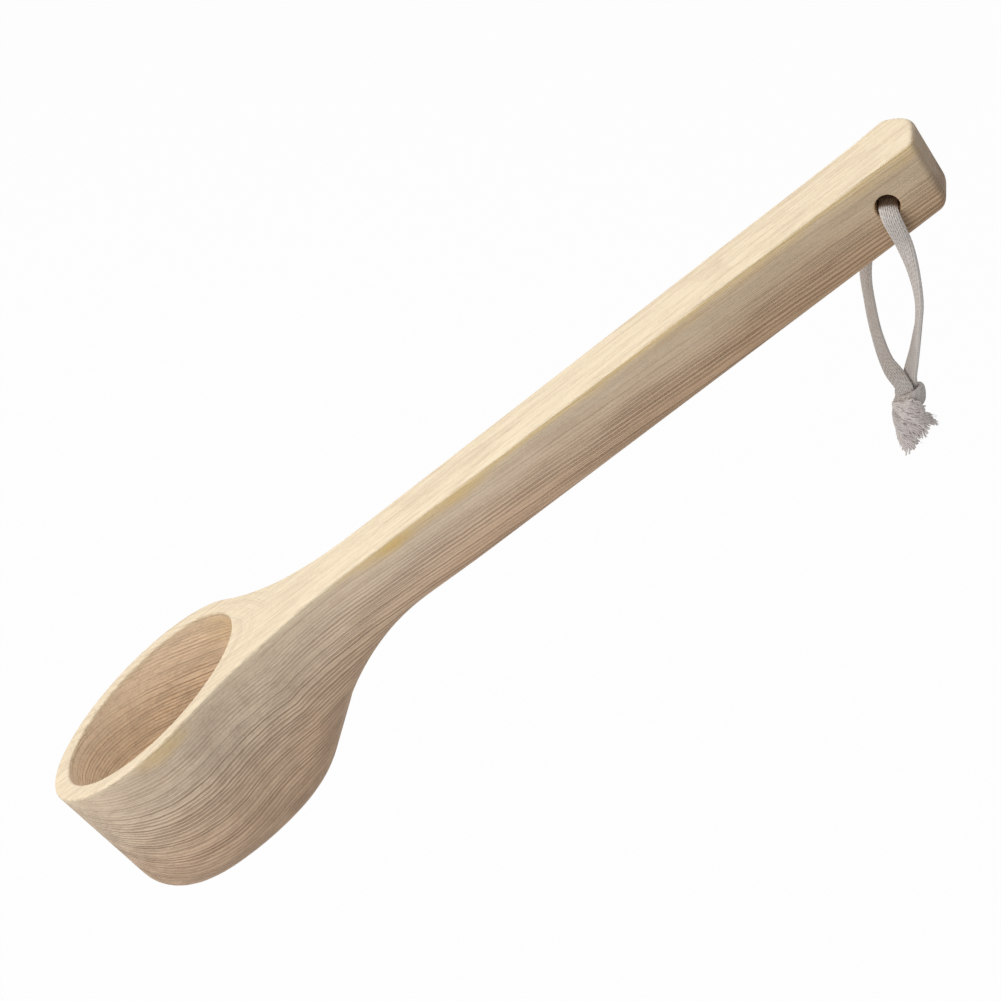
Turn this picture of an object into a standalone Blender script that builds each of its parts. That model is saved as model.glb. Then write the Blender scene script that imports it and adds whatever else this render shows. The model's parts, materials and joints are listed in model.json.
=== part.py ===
# Sauna ladle: a body carved from one length of wood, and a flat lace tied through the handle's end.
# Metres. +Z is plumb up, +X runs from the bowl towards the handle's end, and the hand grips the origin.
# The body is shaped level, with its bowl's axis on Z and its rim at z = 0, and then held at a slope.
import math

import bmesh
import bpy
import numpy as np
from mathutils import Matrix, Vector

# How the ladle is held
HOLD_SLOPE = math.radians(33.4)
GRIP_FROM_END = 0.1293

# Bowl
TOTAL_LENGTH = 0.4043
BOWL_RADIUS = 0.0482
BOWL_DEPTH = 0.0578
BOWL_WALL = 0.0072
BOWL_FLOOR = 0.0085
WALL_DRAFT = math.radians(0.3)
BASE_EDGE_RADIUS = 0.0140
CAVITY_EDGE_RADIUS = 0.0180
RIM_ROUND = 0.0009

# Neck and handle
NECK_LENGTH = 0.0520
NECK_WIDTH = 0.0287
NECK_HEIGHT = 0.0262
NECK_PLAN_RADIUS = 0.1250
NECK_EDGE_RADIUS = 0.0056
END_WIDTH = 0.0314
END_HEIGHT = 0.0247
HANDLE_EDGE_RADIUS = 0.0032
HANDLE_RISE = math.radians(2.16)
RISE_SETBACK = 0.0068
RISE_BLEND = 0.0200

# Underside from the bowl's flat base up to the handle
BASE_SETBACK = 0.0190
BELLY_RADIUS = 0.0380
THROAT_RADIUS = 0.1180

# Handle's end
END_PLAN_RADIUS = 0.0022
END_LOWER_RADIUS = 0.0045
END_UPPER_RADIUS = 0.0020
END_SLANT = math.radians(9.5)
END_SLANT_LENGTH = 0.0300
END_SWEEP = 30.0
END_SWEEP_FROM = -0.0040
HOLE_FROM_END = 0.0198
HOLE_DIAMETER = 0.0080
HOLE_ROUND = 0.0006

# Hanging lace
LACE_WIDTH = 0.0060
LACE_THICKNESS = 0.0022
LACE_STEP = 0.0024
CLEARANCE = 0.0003
KNOT_DROP = 0.0777
KNOT_LENGTH = 0.0082
KNOT_RADIUS = 0.0054
KNOT_FACE_RADIUS = 0.0045
TASSEL_LENGTH = 0.0162
TASSEL_WIDTH = 0.0138
TASSEL_THICKNESS = 0.0066
TASSEL_SWEEP = 0.0018

# Facets
FRONT_PLANES = 14
NECK_STEP = 0.0045
HANDLE_STEP = 0.0300
END_PLANES = 6
END_STRIPS = 10
UPPER_EDGE_STEPS = 2
SIDE_STEPS = 4
LOWER_EDGE_STEPS = 5
CAVITY_STEPS = 56
CAVITY_EDGE_STEPS = 6
HOLE_STEPS = 28
ROUTE_STEPS = 12
KNOT_STEPS = 20
KNOT_BULGE_STEPS = 6
MERGE = 0.000001

# Worked out from the sizes above
HANDLE_END = TOTAL_LENGTH - BOWL_RADIUS
NECK_END = BOWL_RADIUS + NECK_LENGTH
HOLE_X = HANDLE_END - HOLE_FROM_END
GRIP_X = HANDLE_END - GRIP_FROM_END
CAVITY_RADIUS = BOWL_RADIUS - BOWL_WALL
CAVITY_DEPTH = BOWL_DEPTH - BOWL_FLOOR


def smooth_ramp(value, start, end):
    share = min(max((value - start) / (end - start), 0.0), 1.0)
    return share * share * (3.0 - 2.0 * share)


def handle_share(x):
    return (x - NECK_END) / (HANDLE_END - NECK_END)


def handle_half_width(x):
    return (NECK_WIDTH + (END_WIDTH - NECK_WIDTH) * handle_share(x)) / 2


def handle_height(x):
    return NECK_HEIGHT + (END_HEIGHT - NECK_HEIGHT) * handle_share(x)


def top_height(x):
    # The rim is level, and the handle's flat top rises gently behind it.
    run = max(x - BOWL_RADIUS - RISE_SETBACK, 0.0)
    return math.tan(HANDLE_RISE) * (math.hypot(run, RISE_BLEND) - RISE_BLEND)


def handle_underside(x):
    return top_height(x) - handle_height(x)


def neck_arc_centre():
    # The concave arc in plan touches the bowl's circle and the handle's straight side.
    slope = (END_WIDTH - NECK_WIDTH) / 2 / (HANDLE_END - NECK_END)
    offset = handle_half_width(0.0) + NECK_PLAN_RADIUS * math.hypot(1.0, slope)
    reach = BOWL_RADIUS + NECK_PLAN_RADIUS
    a = 1.0 + slope * slope
    b = slope * offset
    c = offset * offset - reach * reach
    x = (math.sqrt(b * b - a * c) - b) / a
    return x, offset + slope * x


def half_width(x):
    centre_x, centre_y = neck_arc_centre()
    contact = BOWL_RADIUS * centre_x / (BOWL_RADIUS + NECK_PLAN_RADIUS)
    if x <= contact:
        return math.sqrt(BOWL_RADIUS ** 2 - x * x)
    if x < centre_x:
        return centre_y - math.sqrt(NECK_PLAN_RADIUS ** 2 - (x - centre_x) ** 2)
    return handle_half_width(x)


def underside(x):
    # Flat base, a convex belly, and a concave throat that meets the belly and runs into the handle.
    far = NECK_END + NECK_LENGTH
    grade = (handle_underside(HANDLE_END) - handle_underside(far)) / (HANDLE_END - far)
    line_start = handle_underside(far) - grade * far
    flat_end = BOWL_RADIUS - BASE_SETBACK
    last_turn = math.atan(grade)
    level = BELLY_RADIUS + THROAT_RADIUS * math.hypot(1.0, grade) - BOWL_DEPTH - line_start - grade * flat_end
    turn = last_turn + math.acos(level / (BELLY_RADIUS + THROAT_RADIUS) / math.hypot(1.0, grade))
    belly_end = flat_end + BELLY_RADIUS * math.sin(turn)
    throat_x = flat_end + (BELLY_RADIUS + THROAT_RADIUS) * math.sin(turn)
    throat_z = BELLY_RADIUS - BOWL_DEPTH - (BELLY_RADIUS + THROAT_RADIUS) * math.cos(turn)
    if x <= flat_end:
        return -BOWL_DEPTH
    if x <= belly_end:
        return BELLY_RADIUS - BOWL_DEPTH - math.sqrt(BELLY_RADIUS ** 2 - (x - flat_end) ** 2)
    if x <= throat_x - THROAT_RADIUS * math.sin(last_turn):
        return throat_z + math.sqrt(THROAT_RADIUS ** 2 - (x - throat_x) ** 2)
    return line_start + grade * x


def lower_edge_radius(x):
    to_neck = smooth_ramp(x, 0.0, NECK_END)
    to_handle = smooth_ramp(x, NECK_END, NECK_END + NECK_LENGTH)
    radius = BASE_EDGE_RADIUS + (NECK_EDGE_RADIUS - BASE_EDGE_RADIUS) * to_neck
    return radius + (HANDLE_EDGE_RADIUS - NECK_EDGE_RADIUS) * to_handle


def wall_draft(x):
    return math.tan(WALL_DRAFT) * (1.0 - smooth_ramp(x, 0.0, NECK_END))


def quarter_arc(steps):
    # Shares of a corner's radius left along its first and second side, from one side to the other.
    angles = np.linspace(0.0, math.pi / 2, steps + 1)
    return [(1.0 - math.sin(angle), 1.0 - math.cos(angle)) for angle in angles]


def half_section(reach, top, bottom, lower_radius, draft):
    # From the top's middle out over the upper edge, down the side and under to the middle again.
    points = [(0.0, top)]
    for across, down in quarter_arc(UPPER_EDGE_STEPS):
        points.append((reach - RIM_ROUND * across, top - RIM_ROUND * down))
    side_top = top - RIM_ROUND
    side_bottom = bottom + lower_radius
    low_reach = reach - draft * (side_top - side_bottom)
    for share in np.linspace(0.0, 1.0, SIDE_STEPS + 1)[1:-1]:
        points.append((reach + (low_reach - reach) * share, side_top + (side_bottom - side_top) * share))
    for up, across in quarter_arc(LOWER_EDGE_STEPS):
        points.append((low_reach - lower_radius * across, bottom + lower_radius * up))
    points.append((0.0, bottom))
    return points


def end_inset(x, radius):
    run = max(x - HANDLE_END + radius, 0.0)
    return radius - math.sqrt(max(radius * radius - run * run, 0.0))


def station_section(x):
    reach = half_width(x) - end_inset(x, END_PLAN_RADIUS)
    top = top_height(x) - end_inset(x, END_UPPER_RADIUS)
    bottom = underside(x) + end_inset(x, END_LOWER_RADIUS)
    lean = math.tan(END_SLANT) * smooth_ramp(x, HANDLE_END - END_SLANT_LENGTH, HANDLE_END)
    section = half_section(reach, top, bottom, lower_edge_radius(x), wall_draft(x))
    return [Vector((x - lean * (top_height(x) - z), y, z)) for y, z in section]


def bowl_section(angle):
    section = half_section(BOWL_RADIUS, 0.0, -BOWL_DEPTH, BASE_EDGE_RADIUS, wall_draft(0.0))
    return [Vector((-r * math.cos(angle), r * math.sin(angle), z)) for r, z in section]


def body_sections():
    sections = [bowl_section(angle) for angle in np.linspace(0.0, math.pi / 2, FRONT_PLANES + 1)]
    neck_stop = NECK_END + NECK_LENGTH
    neck = np.linspace(0.0, neck_stop, round(neck_stop / NECK_STEP) + 1)[1:]
    handle_stop = HANDLE_END - END_SLANT_LENGTH
    handle = np.linspace(neck_stop, handle_stop, round((handle_stop - neck_stop) / HANDLE_STEP) + 1)[1:]
    turns = np.linspace(0.0, math.pi / 2, END_PLANES + 1)
    tail = HANDLE_END - max(END_PLAN_RADIUS, END_LOWER_RADIUS) * (1.0 - np.sin(turns))
    slant = np.linspace(handle_stop, tail[0], 4)[1:-1]
    stations = list(neck) + list(handle) + list(slant) + list(tail)
    return sections + [station_section(float(x)) for x in stations]


def new_material(name, colour, roughness):
    material = bpy.data.materials.new(name)
    material.use_nodes = True
    shader = material.node_tree.nodes["Principled BSDF"]
    shader.inputs["Base Color"].default_value = (*colour, 1.0)
    shader.inputs["Roughness"].default_value = roughness
    shader.inputs["Metallic"].default_value = 0.0
    return material


def mesh_object(name, bm, material=None, sharp_angle=35):
    bmesh.ops.remove_doubles(bm, verts=bm.verts, dist=MERGE)
    bmesh.ops.recalc_face_normals(bm, faces=bm.faces)
    mesh = bpy.data.meshes.new(name)
    bm.to_mesh(mesh)
    bm.free()
    mesh.shade_smooth()
    mesh.set_sharp_from_angle(angle=math.radians(sharp_angle))
    if material:
        mesh.materials.append(material)
    obj = bpy.data.objects.new(name, mesh)
    bpy.context.collection.objects.link(obj)
    return obj


def new_empty(name, place, turn=0.0):
    empty = bpy.data.objects.new(name, None)
    empty.location = place
    empty.rotation_euler = (0.0, turn, 0.0)
    bpy.context.collection.objects.link(empty)
    return empty


def turned_cutter(name, profile, steps, axis_turn, place):
    # A closed solid of revolution about Z, turned onto its axis and used only to cut.
    bm = bmesh.new()
    verts = [bm.verts.new((r, 0.0, z)) for r, z in profile]
    edges = [bm.edges.new(pair) for pair in zip(verts, verts[1:])]
    bmesh.ops.spin(bm, geom=verts + edges, cent=(0, 0, 0), axis=(0, 0, 1), steps=steps,
                   angle=2 * math.pi, use_merge=True)
    bmesh.ops.transform(bm, matrix=Matrix.Translation(place) @ axis_turn, verts=bm.verts)
    cutter = mesh_object(name, bm)
    cutter.hide_render = True
    cutter.display_type = "WIRE"
    return cutter


def cavity_profile():
    edge_depth = CAVITY_DEPTH - CAVITY_EDGE_RADIUS
    low_reach = CAVITY_RADIUS - math.tan(WALL_DRAFT) * (edge_depth - RIM_ROUND)
    profile = [(0.0, BOWL_WALL), (CAVITY_RADIUS + RIM_ROUND, BOWL_WALL)]
    for across, down in quarter_arc(UPPER_EDGE_STEPS):
        profile.append((CAVITY_RADIUS + RIM_ROUND * across, -RIM_ROUND * down))
    for up, across in quarter_arc(CAVITY_EDGE_STEPS):
        profile.append((low_reach - CAVITY_EDGE_RADIUS * across, CAVITY_EDGE_RADIUS * up - CAVITY_DEPTH))
    return profile + [(0.0, -CAVITY_DEPTH)]


def hole_profile():
    mouth = handle_half_width(HOLE_X)
    bore = HOLE_DIAMETER / 2
    half = [(0.0, mouth + BOWL_WALL), (bore + HOLE_ROUND, mouth + BOWL_WALL)]
    for across, down in quarter_arc(UPPER_EDGE_STEPS):
        half.append((bore + HOLE_ROUND * across, mouth - HOLE_ROUND * down))
    return half + [(r, -z) for r, z in reversed(half)]


def hole_place():
    return Vector((HOLE_X, 0.0, top_height(HOLE_X) - handle_height(HOLE_X) / 2))


def grip_place():
    return Vector((GRIP_X, 0.0, top_height(GRIP_X) - handle_height(GRIP_X) / 2))


def add_cut(obj, cutter):
    cut = obj.modifiers.new(cutter.name, "BOOLEAN")
    cut.operation = "DIFFERENCE"
    cut.object = cutter


def sweep_end(bm):
    # The end's far corner is cut back more than its near one.
    faces = [face for face in bm.faces if face.calc_center_median().x > HANDLE_END - END_SLANT_LENGTH]
    geom = faces + list({item for face in faces for item in (*face.edges, *face.verts)})
    for share in np.linspace(-0.5, 0.5, END_STRIPS + 1)[1:-1]:
        geom = bmesh.ops.bisect_plane(bm, geom=geom, dist=MERGE, plane_co=(0.0, share * END_WIDTH, 0.0),
                                      plane_no=(0.0, 1.0, 0.0))["geom"]
    for vert in bm.verts:
        past = max(vert.co.y - END_SWEEP_FROM, 0.0)
        vert.co.x -= END_SWEEP * past ** 2 * smooth_ramp(vert.co.x, HANDLE_END - END_SLANT_LENGTH, HANDLE_END)


def make_body(holder):
    bm = bmesh.new()
    rows = [[bm.verts.new(point) for point in section] for section in body_sections()]
    for row, following in zip(rows, rows[1:]):
        for k in range(len(row) - 1):
            bm.faces.new((row[k], row[k + 1], following[k + 1], following[k]))
    bm.faces.new(rows[-1])
    bmesh.ops.dissolve_degenerate(bm, dist=MERGE, edges=bm.edges)
    bmesh.ops.mirror(bm, geom=bm.verts[:] + bm.edges[:] + bm.faces[:], axis="Y", merge_dist=MERGE)
    sweep_end(bm)
    body = mesh_object("ladle_body", bm, new_material("pale_wood", (0.62, 0.46, 0.31), 0.6))
    cavity = turned_cutter("bowl_cavity", cavity_profile(), CAVITY_STEPS, Matrix(), (0, 0, 0))
    across = Matrix.Rotation(math.pi / 2, 4, "X")
    hole = turned_cutter("cord_hole", hole_profile(), HOLE_STEPS, across, hole_place())
    for cutter in (cavity, hole):
        add_cut(body, cutter)
        cutter.parent = holder
    body.parent = holder
    return body


def smooth_route(points, spacing):
    # A centripetal curve through the route's own rows of x, y, z and turn, read at an even spacing.
    rows = [np.array(point) for point in points]
    rows = [2 * rows[0] - rows[1]] + rows + [2 * rows[-1] - rows[-2]]
    fine = []
    for before, start, end, after in zip(rows, rows[1:], rows[2:], rows[3:]):
        times = [0.0]
        for a, b in ((before, start), (start, end), (end, after)):
            times.append(times[-1] + math.sqrt(np.linalg.norm((b - a)[:3])))
        t0, t1, t2, t3 = times
        for t in np.linspace(t1, t2, ROUTE_STEPS, endpoint=False):
            a1 = before + (start - before) * (t - t0) / (t1 - t0)
            a2 = start + (end - start) * (t - t1) / (t2 - t1)
            a3 = end + (after - end) * (t - t2) / (t3 - t2)
            b1 = a1 + (a2 - a1) * (t - t0) / (t2 - t0)
            b2 = a2 + (a3 - a2) * (t - t1) / (t3 - t1)
            fine.append(b1 + (b2 - b1) * (t - t1) / (t2 - t1))
    fine = np.array(fine + [rows[-2]])
    lengths = np.concatenate(([0.0], np.cumsum(np.linalg.norm(np.diff(fine[:, :3], axis=0), axis=1))))
    places = np.linspace(0.0, lengths[-1], round(lengths[-1] / spacing) + 1)
    return np.column_stack([np.interp(places, lengths, column) for column in fine.T]), lengths[-1]


def lace_route():
    # Rows of x, y, z and the turn of the lace's width from +X, in degrees, measured from the hole's centre.
    # Up the near leg, in at the near mouth of the hole, out at the far mouth and down the far leg.
    beside = handle_half_width(HOLE_X) + CLEARANCE + LACE_THICKNESS / 2
    inside = beside - LACE_THICKNESS - CLEARANCE
    # The lace lies as low in the hole as its width lets it, so one as wide as the hole lies in the middle.
    room = HOLE_DIAMETER / 2 - 2 * CLEARANCE - LACE_THICKNESS / 2
    seat = -math.sqrt(max(room ** 2 - ((LACE_WIDTH - LACE_THICKNESS) / 2) ** 2, 0.0))
    landing = -KNOT_DROP + KNOT_LENGTH / 2 + 2 * CLEARANCE
    pair = LACE_THICKNESS / 2 + CLEARANCE
    return [
        (0.0010, -pair, landing, 0),
        (0.0010, -pair, landing + 0.0040, -6),
        (0.0022, -0.0060, -0.0600, -35),
        (0.0041, -0.0102, -0.0510, -65),
        (0.0057, -0.0142, -0.0420, -80),
        (0.0064, -beside - 0.0006, -0.0320, -60),
        (0.0058, -beside - 0.0014, -0.0210, -25),
        (0.0042, -beside - 0.0012, -0.0120, -8),
        (0.0024, -beside - 0.0012, -0.0066, 0),
        (0.0010, -beside - 0.0006, seat - 0.0020, 0),
        (0.0002, -inside - 0.0012, seat, 0),
        (0.0, -inside + 0.0030, seat, 0),
        (0.0, inside - 0.0030, seat, 0),
        (-0.0002, inside + 0.0012, seat, 0),
        (-0.0010, beside + 0.0006, seat - 0.0020, 0),
        (-0.0024, beside + 0.0012, -0.0066, 0),
        (-0.0050, beside + 0.0012, -0.0140, 0),
        (-0.0090, beside + 0.0014, -0.0270, 10),
        (-0.0113, beside + 0.0010, -0.0385, 25),
        (-0.0109, 0.0156, -0.0490, 35),
        (-0.0094, 0.0112, -0.0580, 35),
        (-0.0062, 0.0060, -0.0660, 25),
        (-0.0010, pair, landing + 0.0030, 6),
        (-0.0010, pair, landing, 0),
    ]


def lace_tilts(rows):
    # The lace's width lies upright before it is tilted, and the tilt turns it about its own run.
    spots = [Vector(row[:3]) for row in rows]
    runs = [(b - a).normalized() for a, b in zip(spots, spots[1:])]
    runs = [runs[0]] + [(a + b).normalized() for a, b in zip(runs, runs[1:])] + [runs[-1]]
    tilts = []
    for run, turn in zip(runs, np.radians(rows[:, 3])):
        upright = Vector((0, 0, 1)) - run * run.z
        wanted = Vector((math.cos(turn), math.sin(turn), 0))
        wanted -= run * run.dot(wanted)
        tilts.append(math.atan2(upright.cross(wanted).dot(run), upright.dot(wanted)))
    return np.unwrap(tilts, period=math.pi)


def make_lace(pivot, material):
    rows, length = smooth_route(lace_route(), LACE_STEP)
    curve = bpy.data.curves.new("hanging_cord", "CURVE")
    curve.dimensions = "3D"
    curve.bevel_depth = LACE_THICKNESS / 2
    curve.extrude = (LACE_WIDTH - LACE_THICKNESS) / 2
    curve.bevel_resolution = 2
    curve.use_fill_caps = True
    curve.twist_mode = "Z_UP"
    spline = curve.splines.new("POLY")
    spline.points.add(len(rows) - 1)
    for spot, row, tilt in zip(spline.points, rows, lace_tilts(rows)):
        spot.co = (*row[:3], 1.0)
        spot.tilt = tilt
    curve.materials.append(material)
    lace = bpy.data.objects.new("hanging_cord", curve)
    bpy.context.collection.objects.link(lace)
    lace.parent = pivot
    print("lace length in the loop, metres:", round(length, 4))
    return lace


def make_knot(pivot, material):
    # A barrel with flat ends: the two legs land on its upper face, the tassel leaves its lower one.
    half = KNOT_LENGTH / 2
    bulge = KNOT_RADIUS - KNOT_FACE_RADIUS
    profile = [(0.0, half)]
    for angle in np.linspace(-math.pi / 2, math.pi / 2, KNOT_BULGE_STEPS + 1):
        profile.append((KNOT_FACE_RADIUS + bulge * math.cos(angle), -half * math.sin(angle)))
    profile.append((0.0, -half))
    bm = bmesh.new()
    verts = [bm.verts.new((r, 0.0, z)) for r, z in profile]
    edges = [bm.edges.new(pair) for pair in zip(verts, verts[1:])]
    bmesh.ops.spin(bm, geom=verts + edges, cent=(0, 0, 0), axis=(0, 0, 1), steps=KNOT_STEPS,
                   angle=2 * math.pi, use_merge=True)
    knot = mesh_object("cord_knot", bm, material)
    knot.parent = pivot
    knot.location = (0.0, 0.0, -KNOT_DROP)
    return knot


def make_tassel(pivot, material):
    # A flat fan of frayed ends: rings of share down its length, width, thickness and sweep towards +X.
    rings = [
        (0.0, 0.58, 1.0, 0.0),
        (0.12, 0.80, 1.0, 0.4),
        (0.32, 1.0, 0.9, 1.0),
        (0.55, 0.86, 0.8, 0.6),
        (0.80, 0.54, 0.62, -0.4),
        (1.0, 0.28, 0.42, -0.9),
    ]
    bm = bmesh.new()
    loops = []
    for down, wide, thick, sweep in rings:
        ring = bmesh.ops.create_circle(bm, segments=KNOT_STEPS, radius=0.5)["verts"]
        bmesh.ops.scale(bm, vec=(TASSEL_WIDTH * wide, TASSEL_THICKNESS * thick, 1.0), verts=ring)
        bmesh.ops.translate(bm, vec=(TASSEL_SWEEP * sweep, 0.0, -TASSEL_LENGTH * down), verts=ring)
        loops.append(ring)
    for upper, lower in zip(loops, loops[1:]):
        for k in range(KNOT_STEPS):
            bm.faces.new((upper[k - 1], upper[k], lower[k], lower[k - 1]))
    bm.faces.new(loops[0])
    bm.faces.new(loops[-1])
    tassel = mesh_object("cord_tassel", bm, material)
    tassel.parent = pivot
    tassel.location = (0.0, 0.0, -KNOT_DROP - KNOT_LENGTH / 2 - CLEARANCE)
    return tassel


def clear_scene():
    for obj in list(bpy.data.objects):
        bpy.data.objects.remove(obj, do_unlink=True)


def main():
    clear_scene()
    lift = Matrix.Rotation(-HOLD_SLOPE, 3, "Y")
    holder = new_empty("level_ladle", -(lift @ grip_place()), -HOLD_SLOPE)
    make_body(holder)
    pivot = new_empty("hole_axis", lift @ (hole_place() - grip_place()))
    cotton = new_material("cotton_lace", (0.62, 0.58, 0.54), 0.85)
    make_lace(pivot, cotton)
    make_knot(pivot, cotton)
    make_tassel(pivot, cotton)


main()
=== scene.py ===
import json
import math
import random

import bmesh
import bpy
import numpy as np
from mathutils import Matrix, Vector


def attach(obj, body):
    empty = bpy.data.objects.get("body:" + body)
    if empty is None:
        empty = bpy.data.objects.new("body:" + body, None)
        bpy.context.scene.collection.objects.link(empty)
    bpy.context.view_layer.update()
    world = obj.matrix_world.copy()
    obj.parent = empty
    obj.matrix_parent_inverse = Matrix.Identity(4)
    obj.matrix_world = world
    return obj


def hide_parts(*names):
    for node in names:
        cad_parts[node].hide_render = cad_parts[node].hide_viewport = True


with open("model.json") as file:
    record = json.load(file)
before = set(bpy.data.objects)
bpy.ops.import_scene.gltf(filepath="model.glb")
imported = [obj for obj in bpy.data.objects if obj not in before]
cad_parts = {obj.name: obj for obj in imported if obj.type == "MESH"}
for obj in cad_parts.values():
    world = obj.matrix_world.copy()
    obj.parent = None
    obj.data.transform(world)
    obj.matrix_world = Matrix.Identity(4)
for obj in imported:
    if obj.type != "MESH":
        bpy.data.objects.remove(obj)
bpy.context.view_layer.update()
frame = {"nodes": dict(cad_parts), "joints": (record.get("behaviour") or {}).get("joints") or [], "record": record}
scene = bpy.context.scene
scene.view_settings.view_transform = "Standard"
print("frame:", sorted(frame["nodes"]))

mergeGap = 0.000001
carvedGap = 0.000006      # wider, for the slivers that cuts leave
listRun = Vector((0.6131, 0.4729, 0.6327))    # a slant, so that no two points come level
creases = {"wood": 35, "lace": 60, "yarn": 180}      # degrees over which an edge shows sharp
cameraView = {
    "place": (0.1360, -0.8460, 0.4788),
    "heading": 12.5,      # degrees round from looking along +Y
    "lookDown": 31.1,
    "roll": -9.95,
    "lens": 106.5,
    "sensor": 36.0,
}


def makeCamera(view):
    data = bpy.data.cameras.new("photoCamera")
    data.lens = view["lens"]
    data.sensor_width = view["sensor"]
    camera = bpy.data.objects.new("photoCamera", data)
    scene.collection.objects.link(camera)
    turn = Matrix.Rotation(math.radians(view["heading"]), 4, "Z")
    tip = Matrix.Rotation(math.radians(90 - view["lookDown"]), 4, "X")
    roll = Matrix.Rotation(math.radians(view["roll"]), 4, "Z")
    camera.matrix_world = Matrix.Translation(view["place"]) @ turn @ tip @ roll
    scene.camera = camera


makeCamera(cameraView)
print("camera set")


class Value:    # a node's output, so that sums are written as Python
    def __init__(self, finish, output):
        self.finish = finish
        self.output = output

    def work(self, operation, first, second=0.0):
        sockets = {0: first, 1: second}
        return self.finish.node("ShaderNodeMath", {"operation": operation}, sockets)

    def __add__(self, other):
        return self.work("ADD", self, other)

    def __radd__(self, other):
        return self.work("ADD", other, self)

    def __sub__(self, other):
        return self.work("SUBTRACT", self, other)

    def __rsub__(self, other):
        return self.work("SUBTRACT", other, self)

    def __mul__(self, other):
        return self.work("MULTIPLY", self, other)

    def __truediv__(self, other):
        return self.work("DIVIDE", self, other)

    def __pow__(self, other):
        return self.work("POWER", self, other)

    def __abs__(self):
        return self.work("ABSOLUTE", self)

    def part(self):
        return self.work("FRACT", self)

    def whole(self):
        return self.work("FLOOR", self)

    def sine(self):
        return self.work("SINE", self)

    def most(self, other):
        return self.work("MAXIMUM", self, other)

    def least(self, other):
        return self.work("MINIMUM", self, other)


class Finish:    # one material and the nodes that make it
    def __init__(self, name, roughness, specular):
        self.material = bpy.data.materials.new(name)
        self.material.use_nodes = True
        self.tree = self.material.node_tree
        self.shader = self.tree.nodes["Principled BSDF"]
        self.shader.inputs["Roughness"].default_value = roughness
        self.shader.inputs["Specular IOR Level"].default_value = specular

    def link(self, value, socket):
        if isinstance(value, Value):
            self.tree.links.new(value.output, socket)
        else:
            socket.default_value = value

    def node(self, kind, settings=None, sockets=None, out=0):
        made = self.tree.nodes.new(kind)
        for name, setting in (settings or {}).items():
            setattr(made, name, setting)
        for name, value in (sockets or {}).items():
            self.link(value, made.inputs[name])
        return Value(self, made.outputs[out])

    def surface(self, **sockets):
        for name, value in sockets.items():
            self.link(value, self.shader.inputs[name.replace("_", " ")])

    def ramp(self, value, start, end, low=0.0, high=1.0):
        return self.node("ShaderNodeMapRange", {"interpolation_type": "SMOOTHSTEP"},
                         {"Value": value, "From Min": start, "From Max": end,
                          "To Min": low, "To Max": high})

    def vector(self, x, y, z):
        return self.node("ShaderNodeCombineXYZ", None, {0: x, 1: y, 2: z})

    def split(self, vector):
        made = self.tree.nodes.new("ShaderNodeSeparateXYZ")
        self.link(vector, made.inputs[0])
        return [Value(self, output) for output in made.outputs]

    def noise(self, where, scale, detail=2.0, rough=0.5):
        return self.node("ShaderNodeTexNoise", None,
                         {"Vector": where, "Scale": scale, "Detail": detail, "Roughness": rough})

    def lineNoise(self, where, scale, detail=0.0):
        return self.node("ShaderNodeTexNoise", {"noise_dimensions": "1D"},
                         {"W": where, "Scale": scale, "Detail": detail})

    def blend(self, share, first, second, how="MIX"):
        colours = [value if isinstance(value, Value) else (*value, 1.0)
                   for value in (first, second)]
        settings = {"data_type": "RGBA", "blend_type": how, "clamp_factor": True}
        return self.node("ShaderNodeMix", settings, {0: share, 6: colours[0], 7: colours[1]}, out=2)

    def bump(self, height, strength, distance):
        return self.node("ShaderNodeBump", None,
                         {"Height": height, "Strength": strength, "Distance": distance})


# The level shape, with its rim at z = 0 and its bowl on Z, is turned and moved to the frame
baseMount = next(mount for mount in frame["record"]["mounts"] if mount["name"] == "bowl_base")
holePlace = Vector(frame["joints"][0]["pos_m"])
bodyShape = {
    "length": 0.4043,         # along the level ladle
    "bowlRadius": 0.0482,
    "bowlDepth": 0.0578,
    "bowlWall": 0.0072,
    "bowlFloor": 0.0085,
    "draft": math.radians(0.3),    # how the bowl's wall leans
    "baseEdge": 0.0140,
    "cavityEdge": 0.0180,
    "rimRound": 0.0009,
    "rimLift": 0.00001,       # keeps the cutter's rounding out of the rim's plane
    "neckLength": 0.0520,
    "neckWidth": 0.0287,
    "neckHeight": 0.0262,
    "neckPlan": 0.1250,       # radius of the hollow beside the neck
    "neckEdge": 0.0056,
    "endWidth": 0.0314,
    "endHeight": 0.0247,
    "handleEdge": 0.0032,
    "rise": math.radians(2.16),    # how the handle climbs from the rim's plane
    "riseSetback": 0.0068,
    "riseBlend": 0.0200,
    "baseSetback": 0.0190,    # from the bowl's side to the end of its flat base
    "belly": 0.0380,          # radii under the bowl and under the neck
    "throat": 0.1180,
    "endPlan": 0.0022,        # roundings of the handle's end
    "endLower": 0.0045,
    "endUpper": 0.0020,
    "endSlant": math.radians(9.5),    # how it leans back below
    "slantLength": 0.0300,
    "endSweep": 30.0,         # how fast its far corner is cut back, per metre
    "sweepFrom": -0.0040,
    "holeFromEnd": 0.0198,
    "holeWidth": 0.0080,
    "holeRound": 0.0006,      # the rounded lip of the hole
}
bodyGrid = {
    "front": 40,
    "neck": 0.0020,           # steps along the neck and the handle, in metres
    "handle": 0.0080,
    "slant": 10,
    "end": 12,
    "strips": 24,
    "upper": 4,
    "side": 10,
    "lower": 10,
    "cavity": 128,
    "cavityEdge": 16,
    "hole": 56,
}
handleEnd = bodyShape["length"] - bodyShape["bowlRadius"]
neckEnd = bodyShape["bowlRadius"] + bodyShape["neckLength"]
neckStop = neckEnd + bodyShape["neckLength"]
slantFrom = handleEnd - bodyShape["slantLength"]
holeAlong = handleEnd - bodyShape["holeFromEnd"]
slope = math.atan2(baseMount["axis"][0], -baseMount["axis"][2])
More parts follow.
